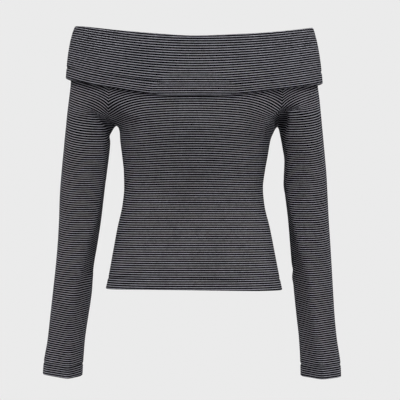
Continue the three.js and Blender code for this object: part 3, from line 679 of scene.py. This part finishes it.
def seam_distance(rows):
    """Every point's distance along its row from the nearer end, and from the first column."""
    steps = np.linalg.norm(np.diff(rows, axis=1), axis=-1)
    walked = np.concatenate([np.zeros((len(rows), 1)), np.cumsum(steps, axis=1)], axis=1)
    return np.minimum(walked, walked[:, -1:] - walked), walked


def draw_back(faces, rows, normals, column, neighbour, first_row=0):
    """Draws a seam's edge back into its own piece, square to the seam and in the cloth's own surface."""
    line = rows[first_row:, column]
    before, after = line[np.r_[0, 0:len(line) - 1]], line[np.r_[1:len(line), len(line) - 1]]
    square = unit(np.cross(normals[first_row:, column], unit(after - before)))
    towards = rows[first_row:, neighbour] - line
    square *= np.sign((square * towards).sum(axis=-1, keepdims=True)) * SEAM_GAP / 2
    for face in faces:
        face[first_row:, column] += square


# Steps of the rounded fold at a hem, lowest first
EDGE_ANGLES = np.radians([82, 58, 34, 11])


def turned_edge(base, normals, up, radius):
    """The rounded fold at a hem: rows of its outer and of its inner half, lowest first."""
    middle = base + (up - normals) * radius
    halves = [[middle + radius * (math.cos(a) * normals * way - math.sin(a) * up) for a in EDGE_ANGLES]
              for way in (1, -1)]
    return [np.array(half) for half in halves]


def seam_dip(rows):
    return SEAM_DIP * np.exp(-(seam_distance(rows)[0] / SEAM_SPREAD) ** 2)


def stitch_dip(over_hem, hem_depth, kind):
    return STITCH_DIP[kind] * np.exp(-((over_hem - hem_depth) / STITCH_SPREAD) ** 2)[:, None]


def cloth_thickness(over_hem, hem_depth):
    begins, ends = HEM_ENDS
    return mix(HEM_PLY, PLY, smoothstep(over_hem - hem_depth, begins, ends))[:, None, None]


def wall(rows, over_hem, hem_depth, group, draw):
    """Outer and inner face of a panel or sleeve from its rows on the form, creases and seams worked in. Each
    seam edge to draw back is a column, its neighbour and the first row."""
    normals = form_normal(rows)
    stitched = stitch_dip(over_hem, hem_depth, "body" if group == "body" else "cuff")
    outer = rows - normals * (seam_dip(rows) + stitched + crease_depth(rows, normals, group))[..., None]
    inner = outer - normals * cloth_thickness(over_hem, hem_depth)
    for column, neighbour, first_row in draw:
        draw_back((outer, inner), rows, normals, column, neighbour, first_row)
    up = unit(outer[1] - outer[0])
    edge_outer, edge_inner = turned_edge(outer[0], normals[0], up, HEM_PLY / 2)
    return np.concatenate([edge_outer, outer[1:]]), np.concatenate([edge_inner, inner[1:]]), normals


def panel_wall(face):
    floor_drop = ARMPITS["left"][2] - BODY_HEM["left"]
    order = ("left", "right") if face == "front" else ("right", "left")
    rows, over_hem, armpit_row = garment_rows(
        lambda kind, height, count: panel_rows(face, kind, height, count),
        body_hem, floor_drop, HEM_DEPTH, [ARMPITS[side] for side in order])
    rows[armpit_row, [0, -1], 1] += FACING[face] * SEAM_GAP / 2
    return *wall(rows, over_hem, HEM_DEPTH, "body", [(0, 1, 0), (-1, -2, 0)]), over_hem, 0


def sleeve_wall(side):
    floor_drop = ARMPITS[side][2] - CUFFS[side]["height"]
    rows, over_hem, armpit_row = garment_rows(
        lambda kind, height, count: sleeve_rows(side, kind, height, count),
        cuff_edge(side), floor_drop, CUFF_DEPTH, [ARMPITS[side]] * 2)
    draw = [(0, 1, armpit_row), (-1, -2, armpit_row)]
    outer, inner, normals = wall(rows, over_hem, CUFF_DEPTH, side, draw)
    return outer, inner, normals, over_hem, armpit_row + len(EDGE_ANGLES)


def band_columns(face, height, count):
    """Rows of the form from the left outer arm over the front, or from the right outer arm over the back."""
    left, right = (sleeve_rows(side, "above", height, count) for side in SIGN)
    panel = panel_rows(face, "above", height, count)
    half = left.shape[1] // 2
    if face == "front":
        return np.concatenate([left[:, half::-1], panel[:, 1:], right[:, 1:half + 1]], axis=1)
    return np.concatenate([right[:, half:], panel[:, 1:], left[:, -2:half - 1:-1]], axis=1)


def band_bottom(x, y):
    sides = mix(BAND_BOTTOM_AT_SIDES["left"], BAND_BOTTOM_AT_SIDES["right"], across_body(x))
    share = np.minimum(np.abs(y / by_face(y, BAND_HALF_DEPTH.get)), 1) ** BAND_BOTTOM_POWER
    return mix(sides, by_face(y, BAND_BOTTOM.get), share)


def stand_off(points):
    drop = fold_top(points[..., 0], points[..., 1]) - points[..., 2]
    side_share = np.minimum(np.abs(points[..., 0]) / BAND_SIDE_REACH, 1) ** BAND_SIDE_POWER
    return mix(BAND_STANDS_OFF("middle", drop), BAND_STANDS_OFF("side", drop), side_share)


def band_wall(face):
    """The band is a hook over the neck edge: its outer ply hangs outside, its short leg inside."""
    length = FOLD_TOP["left"] - BAND_BOTTOM_AT_SIDES["left"]
    over_hem = places(length, (0, FIRST_ROW, length, *(HEM_DEPTH + step for step in BY_STITCHES)))
    shares = over_hem / length
    hang = band_columns(face, lambda x, y: mix(band_bottom(x, y), neck_edge(x, y), shares), len(shares))
    leg_drops = np.linspace(0, BAND_LEG, LEG_ROWS)
    leg = band_columns(face, lambda x, y: neck_edge(x, y) - leg_drops, len(leg_drops))

    def sideways(rows):
        normals = form_normal(rows)
        normals[..., 2] = 0
        return unit(normals)

    away = sideways(hang)
    dip = seam_dip(hang)
    offset = stand_off(hang) - dip - stitch_dip(over_hem, HEM_DEPTH, "band")
    outer = hang + away * offset[..., None]
    inner = outer - away * cloth_thickness(over_hem, HEM_DEPTH)

    cloth_middle = -PLY / 2
    outer_radius = BAND_STANDS_OFF("middle", 0) - cloth_middle
    inner_radius = outer_radius - PLY
    fold = []
    for radius, lift in ((outer_radius, FOLD_HALF), (inner_radius, PLY / 2 + BAND_CLEARANCE)):
        rows = []
        for angle in np.pi * np.arange(1, FOLD_TURNS) / FOLD_TURNS:
            row = hang[-1] + away[-1] * (cloth_middle + radius * math.cos(angle) - dip[-1][:, None])
            rows.append(row + np.array([0, 0, lift * math.sin(angle)]))
        fold.append(np.array(rows))
    inside = sideways(leg)
    outer = np.concatenate([outer, fold[0], leg + inside * (cloth_middle - outer_radius)])
    inner = np.concatenate([inner, fold[1], leg + inside * (cloth_middle - inner_radius)])
    for face_rows in (outer, inner):
        face_rows[:, [0, -1], 1] += FACING[face] * SEAM_GAP / 2
    up = unit(outer[1] - outer[0])
    edge_outer, edge_inner = turned_edge(outer[0], away[0], up, HEM_PLY / 2)

    hanging = np.concatenate([edge_outer, outer[1:len(hang)]])
    grain = PITCH / BAND_PITCH * (hanging[..., 2] - band_bottom(hanging[..., 0], hanging[..., 1]))
    beyond = np.linalg.norm(np.diff(outer[len(hang) - 1:], axis=0), axis=-1)
    grain = np.concatenate([grain, grain[-1] + np.cumsum(beyond, axis=0) * PITCH / BAND_PITCH])
    outer, inner = np.concatenate([edge_outer, outer[1:]]), np.concatenate([edge_inner, inner[1:]])
    return outer, inner, away, over_hem, grain


# Meshes, each spread over a unit square as an atlas: its margin, and where in the margin the outer and the
# inner line of an edge lie
ATLAS_MARGIN = 0.02
ATLAS_EDGES = np.array([0.6, 0.2])


def in_scene(name, data):
    """A new object of the scene, with this mesh, camera or light."""
    item = bpy.data.objects.new(name, data)
    bpy.context.scene.collection.objects.link(item)
    return item


def cloth_mesh(name, outer, inner, grain, ring_rows=0):
    """One closed shell from two faces with the same rows and columns. The first ring_rows rows are closed
    rings, whose last column is their first. Every corner of every face keeps its grain and atlas place."""
    rows, columns = outer.shape[:2]
    i, j = np.meshgrid(np.arange(rows - 1), np.arange(columns - 1), indexing="ij")
    i, j = i.ravel(), j.ravel()
    top, last_column = rows - 1, columns - 1

    def corners(*quad):
        """Quads from four (face, row, column) corners, each of them arrays."""
        return np.stack([(face * rows + r) * columns + c for face, r, c in quad], axis=-1)

    ends = np.arange(columns - 1)
    sides = np.arange(max(ring_rows - 1, 0), top)
    groups = {
        "outer": corners((0, i, j), (0, i, j + 1), (0, i + 1, j + 1), (0, i + 1, j)),
        "inner": corners((1, i, j), (1, i + 1, j), (1, i + 1, j + 1), (1, i, j + 1)),
        "hem": corners((0, 0, ends), (1, 0, ends), (1, 0, ends + 1), (0, 0, ends + 1)),
        "neck": corners((0, top, ends + 1), (1, top, ends + 1), (1, top, ends), (0, top, ends)),
        "first": corners((0, sides, 0), (0, sides + 1, 0), (1, sides + 1, 0), (1, sides, 0)),
        "last": corners((0, sides, last_column), (1, sides, last_column),
                        (1, sides + 1, last_column), (0, sides + 1, last_column)),
    }
    points = np.concatenate([outer.reshape(-1, 3), inner.reshape(-1, 3)])
    face_of, row_of = np.divmod(np.arange(2 * rows * columns), rows * columns)
    row_of, column_of = np.divmod(row_of, columns)

    walked = seam_distance(outer)[1]
    along_row = (walked / walked[:, -1:]).mean(axis=0)
    climbed = np.concatenate([[0], np.cumsum(np.linalg.norm(np.diff(outer, axis=0), axis=-1).mean(axis=1))])
    up_share = climbed / climbed[-1]
    inside = 1 - 2 * ATLAS_MARGIN
    s, t = along_row[column_of], ATLAS_MARGIN + inside * up_share[row_of]
    half_width = (1 - 3 * ATLAS_MARGIN) / 2
    edge = ATLAS_MARGIN * ATLAS_EDGES[face_of]
    atlas = {
        "outer": (ATLAS_MARGIN + half_width * s, t),
        "inner": (2 * ATLAS_MARGIN + half_width * (1 + s), t),
        "hem": (ATLAS_MARGIN + inside * s, edge),
        "neck": (ATLAS_MARGIN + inside * s, 1 - edge),
        "first": (edge, t),
        "last": (1 - edge, t),
    }
    across = walked - walked[:, columns // 2, None]
    grain_uv = np.stack([np.tile(across.ravel(), 2), np.tile(grain.ravel(), 2)], axis=-1) * MM

    quads = np.concatenate(list(groups.values()))
    atlas_uv = np.concatenate([np.stack([np.broadcast_to(a, len(points))[quad] for a in atlas[name]], axis=-1)
                               for name, quad in groups.items()])
    shared = np.arange(len(points))
    closing = (row_of < ring_rows) & (column_of == last_column)
    shared[closing] -= last_column
    used, vertices = np.unique(shared[quads], return_inverse=True)
    vertices = vertices.reshape(quads.shape)
    co = points[used] * MM

    a, b, c, d = co[vertices].transpose(1, 0, 2)
    if (a * (np.cross(b, c) + np.cross(c, d))).sum() < 0:
        vertices, quads, atlas_uv = vertices[:, ::-1], quads[:, ::-1], atlas_uv[:, ::-1]
    mesh = bpy.data.meshes.new(name)
    mesh.from_pydata(co.tolist(), [], vertices.tolist())
    for layer, uv in (("OFBake", atlas_uv), ("Grain", grain_uv[quads])):
        mesh.uv_layers.new(name=layer).data.foreach_set("uv", uv.reshape(-1).astype(np.float32))
    mesh.polygons.foreach_set("use_smooth", [True] * len(mesh.polygons))
    mesh.update()
    return in_scene(name, mesh)


# Stitches of a hem's two needle rows, as short slim threads that dip into the cloth at both ends
STITCH_STEP = 3.0
STITCH_LENGTH = 2.3
# Sections of a stitch: place along it as a share of its length, radius, and height over the cloth
STITCH_SECTIONS = ((-0.5, 0.07, -0.2), (-0.28, 0.23, 0.08), (0.28, 0.23, 0.08), (0.5, 0.07, -0.2))
STITCH_SIDES = 5
NEEDLE_ROWS = (-1.5, 1.5)


def stitch_places(line, normals):
    steps = np.linalg.norm(np.diff(line, axis=0), axis=-1)
    walked = np.concatenate([[0], np.cumsum(steps)])
    count = int(walked[-1] // STITCH_STEP)
    at = (np.arange(count) + 0.5) * walked[-1] / count
    ends = [at + way * STITCH_LENGTH / 2 for way in (-1, 1)]

    def point(where, values):
        return np.stack([np.interp(where, walked, values[:, k]) for k in range(3)], axis=-1)

    return point(at, line), unit(point(ends[1], line) - point(ends[0], line)), unit(point(at, normals))


def stitches(name, lines):
    places_of = [stitch_places(*line) for line in lines]
    middle, along, out = (np.concatenate([p[k] for p in places_of]) for k in range(3))
    side = np.cross(along, out)
    rings = []
    for where, radius, lift in STITCH_SECTIONS:
        for k in range(STITCH_SIDES):
            angle = 2 * math.pi * k / STITCH_SIDES
            rings.append(middle + along * where * STITCH_LENGTH
                         + out * (lift + radius * math.sin(angle)) + side * radius * math.cos(angle))
    points = np.stack(rings, axis=1)
    sides, sections = STITCH_SIDES, len(STITCH_SECTIONS)

    def corner(section, k):
        return section * sides + k % sides

    faces = [[corner(s, k), corner(s, k + 1), corner(s + 1, k + 1), corner(s + 1, k)]
             for s in range(sections - 1) for k in range(sides)]
    faces += [list(range(sides))[::-1], [(sections - 1) * sides + k for k in range(sides)]]
    per_stitch = sections * sides
    mesh = bpy.data.meshes.new(name)
    mesh.from_pydata((points.reshape(-1, 3) * MM).tolist(), [],
                     [[n * per_stitch + v for v in face] for n in range(len(middle)) for face in faces])
    mesh.polygons.foreach_set("use_smooth", [True] * len(mesh.polygons))
    return in_scene(name, mesh)


def needle_lines(outer, normals, over_hem, hem_depth):
    """The hem's two rows of stitches on the outer face. Its first rows are the turned edge."""
    regular = outer[len(EDGE_ANGLES):]
    lines = []
    for step in NEEDLE_ROWS:
        row = int(np.abs(over_hem[1:] - hem_depth - step).argmin())
        lines.append((regular[row], normals[min(row + 1, len(normals) - 1)]))
    return lines


# The knit: black yarn with a narrow light stripe, in stitches that show as small V shapes from close by
BLACK = (0.0049, 0.0048, 0.007, 1)
LIGHT = (0.442, 0.438, 0.493, 1)
LIGHT_SHARE = 0.255      # of a pitch
COURSES = 6              # knitted rows in one pitch
WALE = 0.85              # width of one column of stitches
STITCH_SLANT = 0.45      # of a course
STRIPE_EDGE = 0.035      # of a pitch: half the width over which light turns to black
RIB_EDGE = 0.22          # of a wale
COURSE_RELIEF = 0.35     # the rows' share of the relief
BUMP_STRENGTH = 0.5
BUMP_HEIGHT = 0.18
SPECULAR = 0.06
SHEEN = {"jersey": 0.01, "thread": 0.1}
SHEEN_ROUGHNESS = 0.5

# Unevenness: a noise has a scale and a detail, and a range has two of its values and what they turn into
YARN_NOISE = (900, 1)
YARN_SHADE = (0.3, 0.7, 0.86, 1.1)
YARN_ROUGHNESS = (0.2, 0.8, 0.86, 0.96)
CLOUD_NOISE = (38, 3)
CLOUD_SHADE = (0.35, 0.65, -0.05, 0.05)
PATCH_NOISE = (210, 2)
PATCH_LIGHT = (0.3, 0.7, 0.8, 1.2)

# Sewing thread
THREAD_DARK = (0.008, 0.008, 0.009, 1)
THREAD_PALE = (0.022, 0.022, 0.024, 1)
TWIST_NOISE = (1500, 1)
TWIST_ROUGHNESS = (0.3, 0.7, 0.55, 0.75)


class Nodes:
    """Short ways to add shader nodes to one material."""

    def __init__(self, name):
        self.material = bpy.data.materials.new(name)
        self.material.use_nodes = True
        self.tree = self.material.node_tree
        self.shader = self.tree.nodes["Principled BSDF"]

    def add(self, kind, **settings):
        node = self.tree.nodes.new(kind)
        for key, value in settings.items():
            setattr(node, key, value)
        return node

    def link(self, value, socket):
        if isinstance(value, bpy.types.NodeSocket):
            self.tree.links.new(value, socket)
        else:
            socket.default_value = value

    def math(self, operation, *values):
        node = self.add("ShaderNodeMath", operation=operation)
        for value, socket in zip(values, node.inputs):
            self.link(value, socket)
        return node.outputs[0]

    def smooth(self, value, low, high, from_value=0.0, to_value=1.0):
        node = self.add("ShaderNodeMapRange", interpolation_type="SMOOTHSTEP")
        for socket, setting in zip(node.inputs, (value, low, high, from_value, to_value)):
            self.link(setting, socket)
        return node.outputs[0]

    def noise(self, scale, detail):
        node = self.add("ShaderNodeTexNoise")
        self.link(self.add("ShaderNodeTexCoord").outputs["Object"], node.inputs["Vector"])
        node.inputs["Scale"].default_value = scale
        node.inputs["Detail"].default_value = detail
        return node.outputs["Fac"]

    def blend(self, share, a, b):
        node = self.add("ShaderNodeMix", data_type="RGBA")
        self.link(share, node.inputs["Factor"])
        self.link(a, node.inputs[6])
        self.link(b, node.inputs[7])
        return node.outputs[2]


def striped_jersey(name):
    n = Nodes(name)
    grain = n.add("ShaderNodeUVMap", uv_map="Grain").outputs[0]
    split = n.add("ShaderNodeSeparateXYZ")
    n.link(grain, split.inputs[0])
    across, up = split.outputs[0], split.outputs[1]
    course = PITCH * MM / COURSES
    column = n.math("PINGPONG", n.math("DIVIDE", across, WALE * MM), 0.5)
    slanted = n.math("ADD", up, n.math("MULTIPLY", column, 2 * STITCH_SLANT * course))

    place = n.math("FRACT", n.math("DIVIDE", slanted, PITCH * MM))
    from_middle = n.math("ABSOLUTE", n.math("SUBTRACT", place, 0.5))
    half = LIGHT_SHARE / 2
    light = n.smooth(from_middle, half + STRIPE_EDGE, half - STRIPE_EDGE)

    yarn = n.noise(*YARN_NOISE)
    cloudy = n.smooth(n.noise(*CLOUD_NOISE), *CLOUD_SHADE)
    patchy = n.smooth(n.noise(*PATCH_NOISE), *PATCH_LIGHT)
    shade = n.math("ADD", n.smooth(yarn, *YARN_SHADE), cloudy)
    striped = n.blend(n.math("MULTIPLY", light, patchy), BLACK, LIGHT)
    colour = n.add("ShaderNodeVectorMath", operation="SCALE")
    n.link(striped, colour.inputs[0])
    n.link(shade, colour.inputs["Scale"])
    n.link(colour.outputs[0], n.shader.inputs["Base Color"])

    rows = n.math("SINE", n.math("MULTIPLY", slanted, 2 * math.pi / course))
    ribs = n.smooth(column, 0, RIB_EDGE)
    relief = n.math("ADD", n.math("MULTIPLY", rows, COURSE_RELIEF), 1 - COURSE_RELIEF)
    height = n.math("MULTIPLY", ribs, relief)
    bump = n.add("ShaderNodeBump")
    bump.inputs["Strength"].default_value = BUMP_STRENGTH
    bump.inputs["Distance"].default_value = BUMP_HEIGHT * MM
    n.link(height, bump.inputs["Height"])
    n.link(bump.outputs[0], n.shader.inputs["Normal"])
    n.link(n.smooth(yarn, *YARN_ROUGHNESS), n.shader.inputs["Roughness"])
    n.shader.inputs["Specular IOR Level"].default_value = SPECULAR
    n.shader.inputs["Sheen Weight"].default_value = SHEEN["jersey"]
    n.shader.inputs["Sheen Roughness"].default_value = SHEEN_ROUGHNESS
    return n.material


def thread_material():
    n = Nodes("black_thread")
    twist = n.noise(*TWIST_NOISE)
    n.link(n.blend(twist, THREAD_DARK, THREAD_PALE), n.shader.inputs["Base Color"])
    n.link(n.smooth(twist, *TWIST_ROUGHNESS), n.shader.inputs["Roughness"])
    n.shader.inputs["Sheen Weight"].default_value = SHEEN["thread"]
    return n.material


MATERIALS = {slot: striped_jersey(slot) for slot in ("body_jersey", "sleeve_jersey", "band_jersey")}
THREAD = thread_material()


def dress(piece, slot, nodes, stitched):
    """Gives the piece its finish and the body it rides on, hides the solids it stands for, and gives its
    stitches their thread and the same body.
    """
    piece.data.materials.append(MATERIALS[slot])
    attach(piece, "root")
    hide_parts(*nodes)
    stitched.data.materials.append(THREAD)
    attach(stitched, "root")


for face in FACING:
    outer, inner, normals, over_hem, ring_rows = panel_wall(face)
    cloth = cloth_mesh(f"{face}_cloth", outer, inner, body_grain(outer), ring_rows)
    sewn = stitches(f"{face}_hem_stitches", needle_lines(outer, normals, over_hem, HEM_DEPTH))
    dress(cloth, "body_jersey", [f"{face}_panel"], sewn)

for side in SIGN:
    outer, inner, normals, over_hem, ring_rows = sleeve_wall(side)
    cloth = cloth_mesh(f"sleeve_{side}_cloth", outer, inner, sleeve_grain(side, outer), ring_rows)
    sewn = stitches(f"cuff_{side}_stitches", needle_lines(outer, normals, over_hem, CUFF_DEPTH))
    dress(cloth, "sleeve_jersey", [f"sleeve_{side}"], sewn)

for face in FACING:
    outer, inner, away, over_hem, grain = band_wall(face)
    cloth = cloth_mesh(f"band_{face}_cloth", outer, inner, grain)
    sewn = stitches(f"band_{face}_stitches", needle_lines(outer, away, over_hem, HEM_DEPTH))
    dress(cloth, "band_jersey", [f"band_{face}"], sewn)

# Camera at the photograph's level view
CAMERA_PLACE = (0.0107, -2.5, -0.272)
PICTURE_SIDE = 400
FOCAL_LENGTH = 1515.15   # in picture points
SENSOR = 36
FAR_CLIP = 50

lens = bpy.data.cameras.new("camera")
lens.sensor_width = SENSOR
lens.lens = FOCAL_LENGTH * SENSOR / PICTURE_SIDE
lens.clip_end = FAR_CLIP
camera = in_scene("camera", lens)
camera.location = CAMERA_PLACE
camera.rotation_euler = (math.pi / 2, 0, 0)
bpy.context.scene.camera = camera
bpy.context.scene.view_settings.view_transform = "Standard"

# Studio: an even pale surround that hardly fills the shadows, large soft lights from the front, the sides and
# behind, and a pale floor
SURROUND = (0.83, 0.83, 0.83, 1)
FILL_SHARE = 0.05
LIGHTS_ROUND = (0, 0, -0.28)
LIGHTS_AIM = (0, 0, -0.75)
LIGHT_DISTANCE = 3
LIGHT_SIZE = 1.6
LIGHT_SPREAD = 75        # degrees: the light falls off upwards from where it aims
# Degrees round from the front towards the right, degrees up, and watts
LIGHTS = {
    "front_light": (0, 40, 7.2),
    "high_left_light": (-86, 45, 6.7),
    "high_right_light": (84, 45, 7.8),
    "low_left_light": (-50, 8, 2.4),
    "low_right_light": (38, 8, 3.4),
    "back_light": (180, 30, 5.5),
}
FLOOR_HEIGHT = -1.3
FLOOR_RADIUS = 4.5
FLOOR_CORNERS = 64
FLOOR_COLOUR = (0.8, 0.8, 0.8, 1)
FLOOR_ROUGHNESS = 0.9
FLOOR_GLOW = 0.5         # keeps the floor pale to the eye out to its edge and lights nothing


def make_surround():
    world = bpy.data.worlds.new("studio")
    bpy.context.scene.world = world
    world.use_nodes = True
    tree = world.node_tree
    tree.nodes.clear()
    seen, fill = tree.nodes.new("ShaderNodeBackground"), tree.nodes.new("ShaderNodeBackground")
    path, pick = tree.nodes.new("ShaderNodeLightPath"), tree.nodes.new("ShaderNodeMixShader")
    out = tree.nodes.new("ShaderNodeOutputWorld")
    for node, strength in ((seen, 1), (fill, FILL_SHARE)):
        node.inputs["Color"].default_value = SURROUND
        node.inputs["Strength"].default_value = strength
    tree.links.new(path.outputs["Is Camera Ray"], pick.inputs[0])
    tree.links.new(fill.outputs[0], pick.inputs[1])
    tree.links.new(seen.outputs[0], pick.inputs[2])
    tree.links.new(pick.outputs[0], out.inputs["Surface"])


def area_light(name, azimuth, elevation, power):
    data = bpy.data.lights.new(name, "AREA")
    data.shape = "DISK"
    data.size = LIGHT_SIZE
    data.energy = power
    data.spread = math.radians(LIGHT_SPREAD)
    round_by, up_by = math.radians(azimuth), math.radians(elevation)
    level = math.cos(up_by)
    towards = Vector((math.sin(round_by) * level, -math.cos(round_by) * level, math.sin(up_by)))
    light = in_scene(name, data)
    light.location = Vector(LIGHTS_ROUND) + LIGHT_DISTANCE * towards
    light.rotation_euler = (light.location - Vector(LIGHTS_AIM)).to_track_quat("Z", "Y").to_euler()


def make_floor():
    mesh = bpy.data.meshes.new("floor")
    around = [2 * math.pi * k / FLOOR_CORNERS for k in range(FLOOR_CORNERS)]
    rim = [(FLOOR_RADIUS * math.cos(a), FLOOR_RADIUS * math.sin(a), FLOOR_HEIGHT) for a in around]
    mesh.from_pydata(rim, [], [range(FLOOR_CORNERS)])
    floor = in_scene("floor", mesh)
    n = Nodes("pale_floor")
    n.shader.inputs["Base Color"].default_value = FLOOR_COLOUR
    seen = n.add("ShaderNodeLightPath").outputs["Is Camera Ray"]
    n.link(n.math("MULTIPLY", seen, FLOOR_GLOW), n.shader.inputs["Emission Strength"])
    n.shader.inputs["Emission Color"].default_value = (1, 1, 1, 1)
    n.shader.inputs["Roughness"].default_value = FLOOR_ROUGHNESS
    mesh.materials.append(n.material)


make_surround()
make_floor()
for light_name, setting in LIGHTS.items():
    area_light(light_name, *setting)
